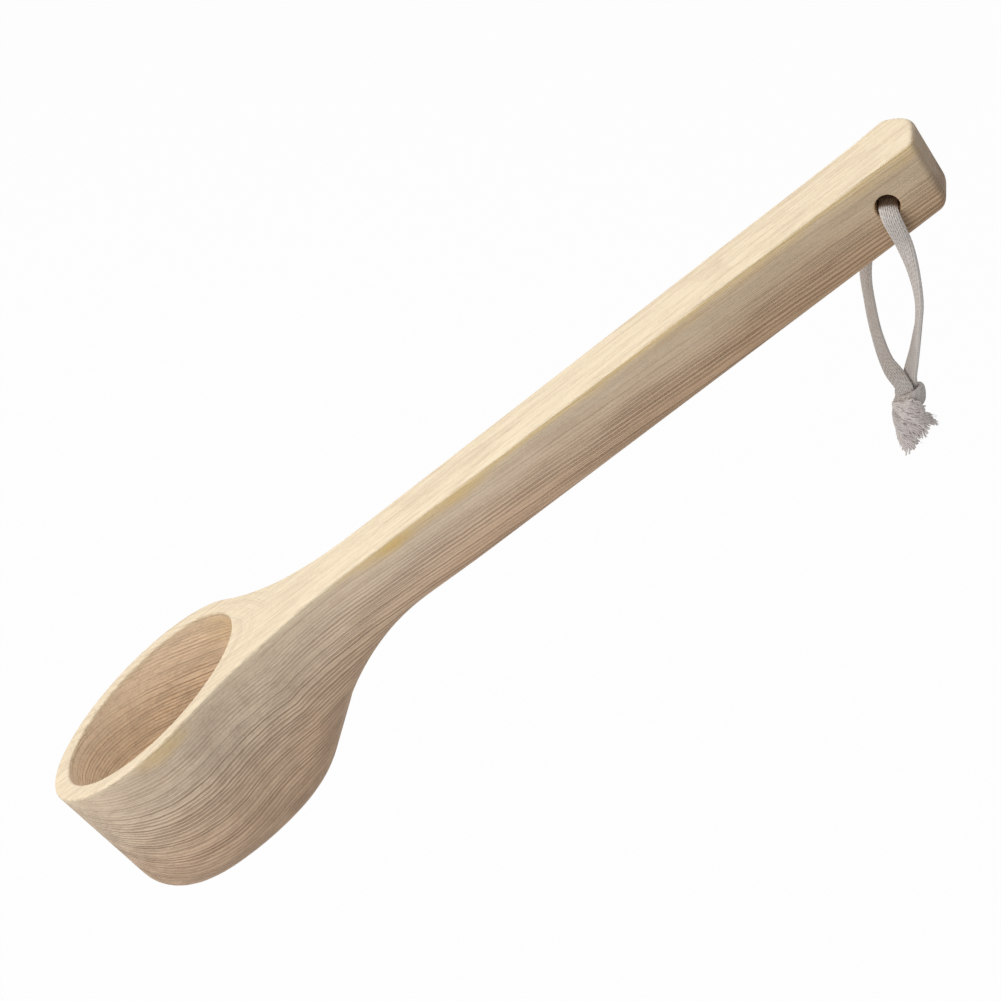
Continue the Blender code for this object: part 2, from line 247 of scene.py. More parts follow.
rimCentre = Vector(baseMount["pos_m"]) - bodyShape["bowlDepth"] * Vector(baseMount["axis"])
levelToFrame = Matrix.Translation(rimCentre) @ Matrix.Rotation(-slope, 4, "Y")


def ease(value, start, end):
    share = min(max((value - start) / (end - start), 0.0), 1.0)
    return share * share * (3.0 - 2.0 * share)


def alongHandle(x, atNeck, atEnd):
    return atNeck + (atEnd - atNeck) * (x - neckEnd) / (handleEnd - neckEnd)


def handleWidth(x):
    return alongHandle(x, bodyShape["neckWidth"], bodyShape["endWidth"])


def handleHeight(x):
    return alongHandle(x, bodyShape["neckHeight"], bodyShape["endHeight"])


def topHeight(x):
    run, soft = max(x - bodyShape["bowlRadius"] - bodyShape["riseSetback"], 0.0), bodyShape["riseBlend"]
    return math.tan(bodyShape["rise"]) * (math.hypot(run, soft) - soft)


def halfWidth(x):    # the bowl's circle, a hollow arc at the neck, then the handle
    bowl, hollow = bodyShape["bowlRadius"], bodyShape["neckPlan"]
    grade = (handleWidth(1.0) - handleWidth(0.0)) / 2
    offset = handleWidth(0.0) / 2 + hollow * math.hypot(1.0, grade)
    reach = bowl + hollow
    square = 1.0 + grade * grade
    root = math.sqrt((grade * offset) ** 2 - square * (offset ** 2 - reach ** 2))
    centreX = (root - grade * offset) / square
    if x <= bowl * centreX / reach:
        return math.sqrt(bowl ** 2 - x * x)
    if x < centreX:
        return offset + grade * centreX - math.sqrt(hollow ** 2 - (x - centreX) ** 2)
    return handleWidth(x) / 2


def underside(x):    # flat base, round belly, hollow throat, then the handle
    belly, throat, depth = bodyShape["belly"], bodyShape["throat"], bodyShape["bowlDepth"]
    low = topHeight(neckStop) - handleHeight(neckStop)
    grade = (topHeight(handleEnd) - handleHeight(handleEnd) - low) / (handleEnd - neckStop)
    start = low - grade * neckStop
    flatEnd = bodyShape["bowlRadius"] - bodyShape["baseSetback"]
    level = belly + throat * math.hypot(1.0, grade) - depth - start - grade * flatEnd
    turn = math.atan(grade) + math.acos(level / (belly + throat) / math.hypot(1.0, grade))
    throatX = flatEnd + (belly + throat) * math.sin(turn)
    throatZ = belly - depth - (belly + throat) * math.cos(turn)
    if x <= flatEnd:
        return -depth
    if x <= flatEnd + belly * math.sin(turn):
        return belly - depth - math.sqrt(belly ** 2 - (x - flatEnd) ** 2)
    if x <= throatX - throat * math.sin(math.atan(grade)):
        return throatZ + math.sqrt(throat ** 2 - (x - throatX) ** 2)
    return start + grade * x


def lowerEdge(x):
    base, neck, handle = bodyShape["baseEdge"], bodyShape["neckEdge"], bodyShape["handleEdge"]
    atNeck = base + (neck - base) * ease(x, 0.0, neckEnd)
    return atNeck + (handle - neck) * ease(x, neckEnd, neckStop)


def quarterArc(steps):
    turns = np.linspace(0.0, math.pi / 2, steps + 1)
    return [(1.0 - math.sin(turn), 1.0 - math.cos(turn)) for turn in turns]


def halfOutline(reach, top, bottom, lower, draft):
    rim = bodyShape["rimRound"]
    upperArc, lowerArc = quarterArc(bodyGrid["upper"]), quarterArc(bodyGrid["lower"])
    points = [(0.0, top)]
    points += [(reach - rim * across, top - rim * down) for across, down in upperArc]
    lowReach = reach - draft * (top - rim - bottom - lower)
    drop = bottom + lower - top + rim
    for share in np.linspace(0.0, 1.0, bodyGrid["side"] + 1)[1:-1]:
        points.append((reach + (lowReach - reach) * share, top - rim + drop * share))
    points += [(lowReach - lower * across, bottom + lower * up) for up, across in lowerArc]
    return points + [(0.0, bottom)]


def endInset(x, radius):
    run = max(x - handleEnd + radius, 0.0)
    return radius - math.sqrt(max(radius * radius - run * run, 0.0))


def stationOutline(x):
    top = topHeight(x)
    draft = math.tan(bodyShape["draft"]) * (1.0 - ease(x, 0.0, neckEnd))
    lean = math.tan(bodyShape["endSlant"]) * ease(x, slantFrom, handleEnd)
    reach = halfWidth(x) - endInset(x, bodyShape["endPlan"])
    high = top - endInset(x, bodyShape["endUpper"])
    low = underside(x) + endInset(x, bodyShape["endLower"])
    outline = halfOutline(reach, high, low, lowerEdge(x), draft)
    return [(x - lean * (top - z), y, z) for y, z in outline]


def bodyStations():
    rounding = max(bodyShape["endPlan"], bodyShape["endLower"])
    turns = np.linspace(0.0, math.pi / 2, bodyGrid["end"] + 1)
    tail = handleEnd - rounding * (1.0 - np.sin(turns))
    neckSteps = round(neckStop / bodyGrid["neck"])
    handleSteps = round((slantFrom - neckStop) / bodyGrid["handle"])
    return np.concatenate((
        np.linspace(0.0, neckStop, neckSteps + 1)[1:],
        np.linspace(neckStop, slantFrom, handleSteps + 1)[1:],
        np.linspace(slantFrom, tail[0], bodyGrid["slant"])[1:-1],
        tail,
    ))


def unique(items):    # without repeats, in the order they come
    return list(dict.fromkeys(items))


def addChain(bm, points):
    verts = [bm.verts.new(point) for point in points]
    return verts, [bm.edges.new(pair) for pair in zip(verts, verts[1:])]


def tidyMesh(bm, gap=mergeGap):
    bmesh.ops.remove_doubles(bm, verts=bm.verts, dist=gap)
    bmesh.ops.dissolve_degenerate(bm, dist=gap, edges=bm.edges)
    bmesh.ops.recalc_face_normals(bm, faces=bm.faces)


def listByPlace(bm):    # every run lists the points and faces in the same order
    bm.verts.sort(key=lambda vert: vert.co.dot(listRun))
    bm.faces.sort(key=lambda face: face.calc_center_median().dot(listRun))


def smoothShade(mesh, crease):
    mesh.shade_smooth()
    mesh.set_sharp_from_angle(angle=math.radians(crease))


def newPiece(name, bm, material=None, crease=creases["wood"]):
    mesh = bpy.data.meshes.new(name)
    bm.to_mesh(mesh)
    bm.free()
    smoothShade(mesh, crease)
    if material:
        mesh.materials.append(material)
    piece = bpy.data.objects.new(name, mesh)
    scene.collection.objects.link(piece)
    return piece


def turnedCutter(name, profile, steps, place):
    bm = bmesh.new()
    verts, edges = addChain(bm, [(r, 0.0, z) for r, z in profile])
    bmesh.ops.spin(bm, geom=verts + edges, cent=(0, 0, 0), axis=(0, 0, 1), steps=steps,
                   angle=2 * math.pi, use_merge=True)
    bmesh.ops.transform(bm, matrix=place, verts=bm.verts)
    tidyMesh(bm)
    return newPiece(name, bm)


def cavityProfile():
    rim, edge, lift = bodyShape["rimRound"], bodyShape["cavityEdge"], bodyShape["rimLift"]
    radius = bodyShape["bowlRadius"] - bodyShape["bowlWall"]
    depth = bodyShape["bowlDepth"] - bodyShape["bowlFloor"]
    low = radius - math.tan(bodyShape["draft"]) * (depth - edge - rim)
    upperArc, lowerArc = quarterArc(bodyGrid["upper"]), quarterArc(bodyGrid["cavityEdge"])
    profile = [(0.0, bodyShape["bowlWall"]), (radius + rim, bodyShape["bowlWall"])]
    profile += [(radius + rim * across, lift - rim * down) for across, down in upperArc]
    profile += [(low - edge * across, edge * up - depth) for up, across in lowerArc]
    return profile + [(0.0, -depth)]


def holeProfile():
    mouth, bore, lip = handleWidth(holeAlong) / 2, bodyShape["holeWidth"] / 2, bodyShape["holeRound"]
    half = [(0.0, 2 * mouth), (bore + lip, 2 * mouth)]
    for across, down in quarterArc(bodyGrid["upper"]):
        half.append((bore + lip * across, mouth - lip * down))
    return half + [(r, -z) for r, z in reversed(half)]


def sweepEnd(bm):    # the far corner is cut back more than the near one
    faces = [face for face in bm.faces if face.calc_center_median().x > slantFrom]
    geom = faces + unique(item for face in faces for item in (*face.edges, *face.verts))
    for share in np.linspace(-0.5, 0.5, bodyGrid["strips"] + 1)[1:-1]:
        place = (0.0, share * bodyShape["endWidth"], 0.0)
        geom = bmesh.ops.bisect_plane(bm, geom=geom, dist=mergeGap, plane_co=place,
                                      plane_no=(0.0, 1.0, 0.0))["geom"]
    for vert in bm.verts:
        past = max(vert.co.y - bodyShape["sweepFrom"], 0.0)
        vert.co.x -= bodyShape["endSweep"] * past ** 2 * ease(vert.co.x, slantFrom, handleEnd)


def evaluatedMesh(piece):
    ready = piece.evaluated_get(bpy.context.evaluated_depsgraph_get())
    return bpy.data.meshes.new_from_object(ready)


def makeBody(material):
    bm = bmesh.new()
    front = halfOutline(bodyShape["bowlRadius"], 0.0, -bodyShape["bowlDepth"],
                        bodyShape["baseEdge"], math.tan(bodyShape["draft"]))
    verts, edges = addChain(bm, [(-reach, 0.0, z) for reach, z in front])
    swept = bmesh.ops.spin(bm, geom=verts + edges, cent=(0, 0, 0), axis=(0, 0, -1),
                           steps=bodyGrid["front"], angle=math.pi / 2)
    last = [item for item in swept["geom_last"] if isinstance(item, bmesh.types.BMEdge)]
    for x in bodyStations():
        following = addChain(bm, stationOutline(float(x)))[1]
        bmesh.ops.bridge_loops(bm, edges=last + following)
        last = following
    tidyMesh(bm)
    whole = bm.verts[:] + bm.edges[:] + bm.faces[:]
    bmesh.ops.mirror(bm, geom=whole, axis="Y", merge_dist=mergeGap)
    bmesh.ops.remove_doubles(bm, verts=bm.verts, dist=mergeGap)
    bmesh.ops.holes_fill(bm, edges=[edge for edge in bm.edges if edge.is_boundary])
    sweepEnd(bm)
    bmesh.ops.transform(bm, matrix=levelToFrame, verts=bm.verts)
    tidyMesh(bm)
    body = newPiece("ladleWood", bm, material)
    acrossHole = Matrix.Translation(holePlace) @ Matrix.Rotation(math.pi / 2, 4, "X")
    cutters = [
        turnedCutter("cavityCutter", cavityProfile(), bodyGrid["cavity"], levelToFrame),
        turnedCutter("holeCutter", holeProfile(), bodyGrid["hole"], acrossHole),
    ]
    for cutter in cutters:
        cut = body.modifiers.new(cutter.name, "BOOLEAN")
        cut.operation = "DIFFERENCE"
        cut.solver = "MANIFOLD"
        cut.object = cutter
    carved = evaluatedMesh(body)
    body.modifiers.clear()
    bm = bmesh.new()
    bm.from_mesh(carved)
    tidyMesh(bm, carvedGap)
    listByPlace(bm)
    bm.to_mesh(carved)
    bm.free()
    body.data = carved
    smoothShade(carved, creases["wood"])
    for cutter in cutters:
        bpy.data.objects.remove(cutter)
    return body


woodLooks = {
    # painted light: the top faces are coloured lighter than the sides
    "top": (0.900, 0.766, 0.566),
    "sapwood": (0.850, 0.690, 0.520),
    # towards the underside the wood turns darker and redder: partly heartwood, partly painted shade
    "heartwoodAndLowShade": (0.750, 0.530, 0.365),
    # painted light: the bowl's inside is coloured lighter
    "bowlInsideLight": (0.970, 0.800, 0.610),
    "bowlGold": (0.980, 0.780, 0.480),
    "lateWood": (0.400, 0.240, 0.140),
    # the stain colour also paints shade in a thin band under the top edge
    "stainAndEdgeShade": (0.860, 0.610, 0.230),
    "endSideShade": (0.860, 0.840, 0.780),      # painted shade, darker on the sides towards the handle's end
    # painted shade round the hole's bore
    "holeShade": (0.700, 0.470, 0.280),
    "endGrain": (0.520, 0.390, 0.280),
    "roughness": 0.62,
    "specular": 0.25,
    "relief": 0.00040,

    "pith": (-0.004, -0.120),      # the trunk's middle, y and z in the level shape
    "ringStep": 0.00125,
    "sway": 0.0016,                # slow wander of the rings
    "ripple": 0.0008,
    "dipFrom": -0.048,             # the grain sinks towards the neck
    "dipLength": 0.105,
    "dipGrade": 0.20,
    "yearScale": 170.0,            # uneven years
    "yearSpread": 1.4,
    "yearStep": 7.31,
    "bandScale": 330.0,
    "thinShift": 0.35,             # thinner lines between the years
    "thinShare": 0.5,

    # noises: scale along the ladle and across it, detail and roughness
    "swayNoise": (6.0, 18.0, 1.0, 0.5),
    "rippleNoise": (60.0, 150.0, 2.0, 0.5),
    "breakNoise": (26.0, 190.0, 2.0, 0.5),
    "fibreNoise": (60.0, 1100.0, 2.0, 0.6),
    "fleckNoise": (700.0, 900.0, 1.0, 0.5),
    "streakNoise": (9.0, 420.0, 2.0, 0.6),
    "cloudNoise": (14.0, 40.0, 3.0, 0.55),
    "patchNoise": (45.0, 9.0),

    # ranges: from, to and, where it isn't 0 to 1, what comes out
    "vigour": (0.25, 0.70, 0.35, 1.0),
    "breaks": (0.34, 0.60),
    "lateStart": (0.50, 0.82),
    "lateEnd": (0.84, 0.96),
    "thinWidth": (0.20, 0.02),
    "bands": (0.36, 0.64, 0.30, 1.0),      # some years show more
    "woodDepth": (0.02, 0.15, 0.057, 0.024),
    "topLightDepth": (0.0003, 0.0030),
    "onTop": (0.0012, 0.0004),
    "insideReach": (0.0440, 0.0425),
    "insideTop": (0.0010, 0.0030),
    "insideFloor": (0.0530, 0.0520),
    "goldAlong": (-0.002, 0.034, 0.0, 0.7),
    "goldDown": (0.030, 0.008),
    "heartAndLowShadeShare": (0.20, 0.95),
    "bowlLines": (0.130, 0.050, 0.0, 0.20),
    "handleLines": (0.12, 0.17, 0.0, 0.20),
    "crowdLines": (0.10, 0.60),
    "grainTone": (-0.28, 0.12, 0.28, 0.0),
    "bowlStain": (0.0, 0.015),
    "neckStain": (0.010, 0.055),
    "handleStain": (0.15, 0.19, 0.0, 0.45),
    "stainPatch": (0.34, 0.60, 0.35, 1.0),
    "stainTop": (0.0002, 0.0012),
    "stainFoot": (0.0015, 0.0048),
    "nearSide": (-0.008, -0.013),
    "edgeShadeTop": (0.0003, 0.0008),
    "edgeShadeFoot": (0.0022, 0.0012),
    "edgeShadeAlong": (0.085, 0.115, 0.0, 0.55),
    "endShadeAlong": (0.150, 0.320),
    "endShadeDown": (0.0010, 0.0050),
    "endDepth": (0.0016, 0.0002, 0.0, 0.6),
    "holeReach": (0.0046, 0.0040, 0.0, 0.8),
    "gloss": (-0.4, 1.0, 0.70, 0.56),

    "riseFrom": 0.075,             # where the top starts to climb
    "bowlStainAt": 0.018,
    "neckStainAt": 0.140,
    "stainSink": 0.002,            # how much lower the stain reaches on the bowl
    "stainWander": 0.009,
    "stainShare": 0.85,
    "stainFade": 0.40,             # and how much fainter it is there
    "heartAndLowShadeWander": 0.6,
    "crowdWander": 0.5,
    "insideLightShare": 0.8,
    "insideHeartAndLowShade": 0.90,
    "insideLines": 0.22,
    "insideCalm": 0.10,
    "lineShare": 0.14,
    "lineGain": 0.60,
    "toneFibre": 0.7,
    "toneStreak": 0.6,
    "toneFleck": 0.25,
    "toneTop": 0.3,
    "ridgeThin": 0.6,
    "ridgeLeast": 0.35,
    "ridgeGain": 0.65,
    "reliefFleck": 0.4,
    "reliefFibre": 0.7,
}


def woodFinish(looks):
    wood = Finish("bareWood", looks["roughness"], looks["specular"])
    place = wood.node("ShaderNodeTexCoord", out=3)
    toLevel = levelToFrame.inverted()
    level = wood.node("ShaderNodeMapping", {"vector_type": "POINT"},
                      {"Vector": place, "Rotation": (0.0, slope, 0.0),
                       "Location": tuple(toLevel.translation)})
    x, y, z = wood.split(level)

    def grain(kind):    # noise about 0, drawn out along the ladle
        along, across, detail, rough = looks[kind]
        spot = wood.vector(x * along, y * across, z * across)
        return wood.noise(spot, 1.0, detail, rough) - 0.5

    def span(value, kind):
        return wood.ramp(value, *looks[kind])

    def far(first, second):
        return (first * first + second * second) ** 0.5

    dip = (x - looks["dipFrom"]).most(0.0).least(looks["dipLength"]) * looks["dipGrade"]
    radius = far(y - looks["pith"][0], z - looks["pith"][1]) + dip
    radius = radius + grain("swayNoise") * looks["sway"] + grain("rippleNoise") * looks["ripple"]
    uneven = wood.lineNoise(radius, looks["yearScale"], 1.0) * looks["yearSpread"]
    rings = radius / looks["ringStep"] + uneven
    year = rings.part()
    vigour = span(wood.lineNoise(rings.whole() * looks["yearStep"], 1.0), "vigour")
    late = span(year, "lateStart") * (1.0 - span(year, "lateEnd")) * vigour
    between = (rings * 2.0 + looks["thinShift"]).part()
    thin = span(abs(between - 0.5), "thinWidth") * span(grain("breakNoise") + 0.5, "breaks")
    bands = span(wood.lineNoise(radius, looks["bandScale"], 1.0), "bands")
    fibre, fleck = grain("fibreNoise"), grain("fleckNoise")
    streak, cloud = grain("streakNoise"), grain("cloudNoise")

    topZ = (x - looks["riseFrom"]).most(0.0) * math.tan(bodyShape["rise"])
    below = topZ - z                              # depth under the flat top
    share = below / span(x, "woodDepth")
    inside = span(far(x, y), "insideReach") * span(below, "insideTop") * span(below, "insideFloor")
    # partly heartwood and partly painted shade: the colour turns darker and redder towards the underside of each
    # section
    heartAndLowShade = span(share + cloud * looks["heartAndLowShadeWander"], "heartAndLowShadeShare")
    heartAndLowShade = heartAndLowShade * (1.0 - inside * looks["insideHeartAndLowShade"])
    gold = inside * span(x, "goldAlong") * span(below, "goldDown")
    # painted light: the top faces take the lighter top colour
    colour = wood.blend(span(below, "topLightDepth"), looks["top"], looks["sapwood"])
    colour = wood.blend(heartAndLowShade, colour, looks["heartwoodAndLowShade"])
    # painted light: the inside of the bowl is coloured lighter than the outside
    colour = wood.blend(inside * looks["insideLightShare"], colour, looks["bowlInsideLight"])
    colour = wood.blend(gold, colour, looks["bowlGold"])

    crowd = share + cloud * looks["crowdWander"] + span(x, "bowlLines") - span(x, "handleLines")
    dense = span(crowd, "crowdLines").most(inside * looks["insideLines"])
    dense = dense - inside * looks["insideCalm"]      # lines crowd lower down and round the bowl
    lines = (late + thin * looks["thinShare"]) * (looks["lineShare"] + dense * looks["lineGain"])
    colour = wood.blend(lines * bands, colour, looks["lateWood"])
    tone = fibre * looks["toneFibre"] + streak * looks["toneStreak"] + fleck * looks["toneFleck"]
    tone = span(tone, "grainTone") * (1.0 + span(below, "onTop") * looks["toneTop"])
    colour = wood.blend(tone, colour, looks["lateWood"])

    onBowl = 1.0 - span(abs(x - looks["bowlStainAt"]), "bowlStain")
    onNeck = 1.0 - span(abs(x - looks["neckStainAt"]), "neckStain")
    along, across = looks["patchNoise"]
    blotch = wood.noise(wood.vector(x * along, y * across, 0.0), 1.0, 2.0)
    patch = onBowl.most(onNeck).most(span(x, "handleStain")) * span(blotch, "stainPatch")
    foot = below - onBowl * looks["stainSink"] + cloud * looks["stainWander"]
    edge = span(below, "stainTop") * (1.0 - span(foot, "stainFoot"))
    stained = patch * edge * (looks["stainShare"] - onBowl * looks["stainFade"])
    # painted shade: a thin darker band just under the top edge, where the rounded edge turns into shade
    edgeShade = span(below, "edgeShadeTop") * span(below, "edgeShadeFoot") * span(x, "edgeShadeAlong")
    near = span(y, "nearSide") * (1.0 - inside)
    colour = wood.blend(stained.most(edgeShade) * near, colour, looks["stainAndEdgeShade"])

    # painted shade: the sides darken towards the handle's end
    endSideShade = span(x, "endShadeAlong") * span(below, "endShadeDown")
    colour = wood.blend(endSideShade, colour, looks["endSideShade"], "MULTIPLY")
    past = (y - bodyShape["sweepFrom"]).most(0.0)
    lean = below * math.tan(bodyShape["endSlant"])
    endAt = handleEnd - lean - past * past * bodyShape["endSweep"]
    colour = wood.blend(span(endAt - x, "endDepth"), colour, looks["endGrain"])
    # painted shade: the wood round the hole's bore is darkened
    hole = toLevel @ holePlace
    colour = wood.blend(span(far(x - hole.x, z - hole.z), "holeReach"), colour, looks["holeShade"])

    ridge = (late + thin * looks["ridgeThin"]) * (looks["ridgeLeast"] + dense * looks["ridgeGain"])
    height = ridge + (fibre + fleck * looks["reliefFleck"]) * looks["reliefFibre"]
    wood.surface(Base_Color=colour, Roughness=span(late + fibre, "gloss"),
                 Normal=wood.bump(height, 1.0, looks["relief"]))
    return wood.material


body = makeBody(woodFinish(woodLooks))
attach(body, "ladle")
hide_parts("ladle_body")
print("wood:", len(body.data.polygons), "faces")

laceShape = {
    "width": 0.0060,
    "thick": 0.0022,
    "clearance": 0.0003,      # from the wood and from the other leg
    "step": 0.0006,
    "around": 32,
    "square": 2.6,            # how far the rounded section fills its corners
    "plait": 0.0016,          # length of one plait along the lace
    "plaitLift": 0.00005,
    "plaitSlant": 0.9,
    "plaitWaves": 3,          # across the width
    "ribs": 9,
    "intoKnot": 0.0030,       # what each end goes on inside the knot
    "knotDrop": 0.0777,       # from the hole's centre to the knot's middle
    "knotLength": 0.0082,
}


def laceRoute():    # x, y, z from the hole's centre, and the width's turn from +X in degrees
    beside = handleWidth(holeAlong) / 2 + laceShape["clearance"] + laceShape["thick"] / 2
    inside = beside - laceShape["thick"] - laceShape["clearance"]
    room = bodyShape["holeWidth"] / 2 - 2 * laceShape["clearance"] - laceShape["thick"] / 2
    seat = -math.sqrt(room ** 2 - ((laceShape["width"] - laceShape["thick"]) / 2) ** 2)
    landing = -laceShape["knotDrop"] + laceShape["knotLength"] / 2 + 2 * laceShape["clearance"]
    pair = laceShape["thick"] / 2 + laceShape["clearance"]
    return [
        (0.0010, pair, landing - laceShape["intoKnot"], -20),
        (0.0010, pair, landing, -32),
        (0.0017, 0.0002, landing + 0.0045, -54),
        (0.0034, -0.0046, -0.0600, -68),
        (0.0050, -0.0092, -0.0510, -77),
        (0.0064, -0.0138, -0.0420, -84),
        (0.0072, -beside - 0.0006, -0.0320, -72),
        (0.0062, -beside - 0.0014, -0.0210, -50),
        (0.0042, -beside - 0.0012, -0.0120, -22),
        (0.0023, -beside - 0.0012, -0.0066, -6),
        (0.0010, -beside - 0.0006, seat - 0.0020, 0),
        (0.0002, -inside - 0.0012, seat, 0),
        (0.0, -inside + 0.0030, seat, 0),
        (0.0, inside - 0.0030, seat, 0),
        (-0.0002, inside + 0.0012, seat, 0),
        (-0.0010, beside + 0.0006, seat - 0.0020, 0),
        (-0.0024, beside + 0.0012, -0.0066, -4),
        (-0.0050, beside + 0.0014, -0.0140, -18),
        (-0.0088, beside + 0.0014, -0.0270, -44),
        (-0.0108, beside - 0.0004, -0.0385, -54),
        (-0.0102, 0.0140, -0.0490, -58),
        (-0.0086, 0.0090, -0.0580, -56),
        (-0.0056, 0.0030, -0.0660, -42),
        (-0.0022, -0.0010, landing + 0.0030, -16),
        (-0.0008, -pair, landing, -8),
        (-0.0004, -pair, landing - laceShape["intoKnot"], 0),
    ]


def smoothLine(points, spacing, between=12):    # centripetal curve, read at an even spacing
    rows = [np.array(point, float) for point in points]
    rows = [2 * rows[0] - rows[1]] + rows + [2 * rows[-1] - rows[-2]]
    fine = []
    for before, start, end, after in zip(rows, rows[1:], rows[2:], rows[3:]):
        times = np.cumsum([0.0] + [math.sqrt(np.linalg.norm((b - a)[:3]))
                                   for a, b in ((before, start), (start, end), (end, after))])
        t0, t1, t2, t3 = times
        for t in np.linspace(t1, t2, between, endpoint=False):
            a1 = before + (start - before) * (t - t0) / (t1 - t0)
            a2 = start + (end - start) * (t - t1) / (t2 - t1)
            a3 = end + (after - end) * (t - t2) / (t3 - t2)
            b1 = a1 + (a2 - a1) * (t - t0) / (t2 - t0)
            b2 = a2 + (a3 - a2) * (t - t1) / (t3 - t1)
            fine.append(b1 + (b2 - b1) * (t - t1) / (t2 - t1))
    fine = np.array(fine + [rows[-2]])
    lengths = np.concatenate(([0.0], np.cumsum(np.linalg.norm(np.diff(fine[:, :3], axis=0), axis=1))))
    places = np.linspace(0.0, lengths[-1], round(lengths[-1] / spacing) + 1)
    return np.column_stack([np.interp(places, lengths, column) for column in fine.T])


def runsAlong(spots):
    runs = [(b - a).normalized() for a, b in zip(spots, spots[1:])]
    return [runs[0]] + [(a + b).normalized() for a, b in zip(runs, runs[1:])] + [runs[-1]]


def stripFrames(spots, acrosses, width, thick):    # width on X, thickness on Y, run on Z
    frames = []
    for spot, run, across in zip(spots, runsAlong(spots), acrosses):
        across = (across - run * run.dot(across)).normalized()
        flat = run.cross(across)
        frames.append(Matrix((across * width / 2, flat * thick / 2, run)).transposed().to_4x4())
        frames[-1].translation = spot
    return frames


def sweepLace(bm, frames, step):    # a rounded strip drawn along the frames, with its plait raised
    along = bm.verts.layers.float.get("along") or bm.verts.layers.float.new("along")
    across = bm.verts.layers.float.get("across") or bm.verts.layers.float.new("across")
    ring = bmesh.ops.create_circle(bm, segments=laceShape["around"], radius=1.0)["verts"]
    square = laceShape["square"]
    for vert in ring:    # from a circle to a fuller section
        fullness = abs(vert.co.x) ** square + abs(vert.co.y) ** square
        vert.co *= fullness ** (-1 / square)
        vert[across] = vert.co.x
    edges = unique(edge for vert in ring for edge in vert.link_edges)
    bmesh.ops.transform(bm, matrix=frames[0], verts=ring)
    swept = list(ring)
    startEdges = edges
    for k, (here, there) in enumerate(zip(frames, frames[1:])):
        made = bmesh.ops.extrude_edge_only(bm, edges=edges)["geom"]
        ring = [item for item in made if isinstance(item, bmesh.types.BMVert)]
        ringSet = set(ring)
        edges = [item for item in made
                 if isinstance(item, bmesh.types.BMEdge) and set(item.verts) <= ringSet]
        bmesh.ops.transform(bm, matrix=there @ here.inverted(), verts=ring)
        for vert in ring:
            vert[along] = (k + 1) * step
        swept += ring
    for ends in (startEdges, edges):
        bmesh.ops.edgeloop_fill(bm, edges=ends)
    skin = unique(face for vert in swept for face in vert.link_faces)
    bmesh.ops.recalc_face_normals(bm, faces=skin)
    for vert in swept:
        vert.normal_update()
    turn = 2 * math.pi / laceShape["plait"]
    for vert in swept:
        slant = abs(vert[across]) * laceShape["width"] * laceShape["plaitSlant"]
        wave = math.cos(vert[across] * laceShape["plaitWaves"] * math.pi)
        plait = math.sin(turn * (vert[along] + slant)) * wave
        vert.co += vert.normal * laceShape["plaitLift"] * plait


laceLooks = {
    "cotton": (0.820, 0.770, 0.730),
    "shade": (0.600, 0.540, 0.495),
    "laceHoleShade": (0.340, 0.240, 0.150),      # painted shade, darker brown where the lace lies in the hole
    "roughness": 0.88,
    "specular": 0.12,
    "sheen": 0.2,
    "sheenRoughness": 0.5,
    "bump": 0.9,
    "relief": 0.00024,
    "plaitTone": 0.22,
    "ribTone": 0.50,
    "fuzzTone": 1.2,
    "cloudTone": 0.8,
    "fuzzScale": 2400.0,
    "cloudScale": 190.0,
    "shaded": (0.4, -1.0, 0.0, 0.95),
    "holeAcross": (0.0156, 0.0128),
    "holeDown": (-0.0075, -0.0045, 0.0, 0.8),
}


def laceFinish(looks):
    cotton = Finish("plaitedCotton", looks["roughness"], looks["specular"])
    cotton.surface(Sheen_Weight=looks["sheen"], Sheen_Roughness=looks["sheenRoughness"])
    along = cotton.node("ShaderNodeAttribute", {"attribute_name": "along"}, out=2)
    across = cotton.node("ShaderNodeAttribute", {"attribute_name": "across"}, out=2)
    slant = abs(across) * (laceShape["width"] * laceShape["plaitSlant"])
    plait = ((along + slant) * (2 * math.pi / laceShape["plait"])).sine()
    ribs = (across * (laceShape["ribs"] * math.pi)).sine()
    place = cotton.node("ShaderNodeTexCoord", out=3)
    fuzz = cotton.noise(place, looks["fuzzScale"], 3.0, 0.65) - 0.5
    cloud = cotton.noise(place, looks["cloudScale"], 2.0) - 0.5
    weave = plait * looks["plaitTone"] + ribs * looks["ribTone"] + fuzz * looks["fuzzTone"]
    shaded = cotton.ramp(weave + cloud * looks["cloudTone"], *looks["shaded"])
    colour = cotton.blend(shaded, looks["cotton"], looks["shade"])
    y, z = cotton.split(place)[1:]
    # painted shade: the lace is darker brown where it lies inside the hole
    inHole = cotton.ramp(abs(y - holePlace.y), *looks["holeAcross"])
    inHole = inHole * cotton.ramp(z - holePlace.z, *looks["holeDown"])
    colour = cotton.blend(inHole, colour, looks["laceHoleShade"])
    cotton.surface(Base_Color=colour, Normal=cotton.bump(weave, looks["bump"], looks["relief"]))
    return cotton.material


def fromHole(points):
    return [holePlace + Vector(point) for point in points]


cottonLace = laceFinish(laceLooks)
route = smoothLine(laceRoute(), laceShape["step"])
laceSpots = fromHole(route[:, :3])
laceTurns = np.radians(route[:, 3])
laceAcross = [Vector((math.cos(turn), math.sin(turn), 0.0)) for turn in laceTurns]
laceFrames = stripFrames(laceSpots, laceAcross, laceShape["width"], laceShape["thick"])
bm = bmesh.new()
sweepLace(bm, laceFrames, laceShape["step"])
listByPlace(bm)
lace = newPiece("hangingLace", bm, cottonLace, creases["lace"])
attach(lace, "loop")
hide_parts("hanging_cord")

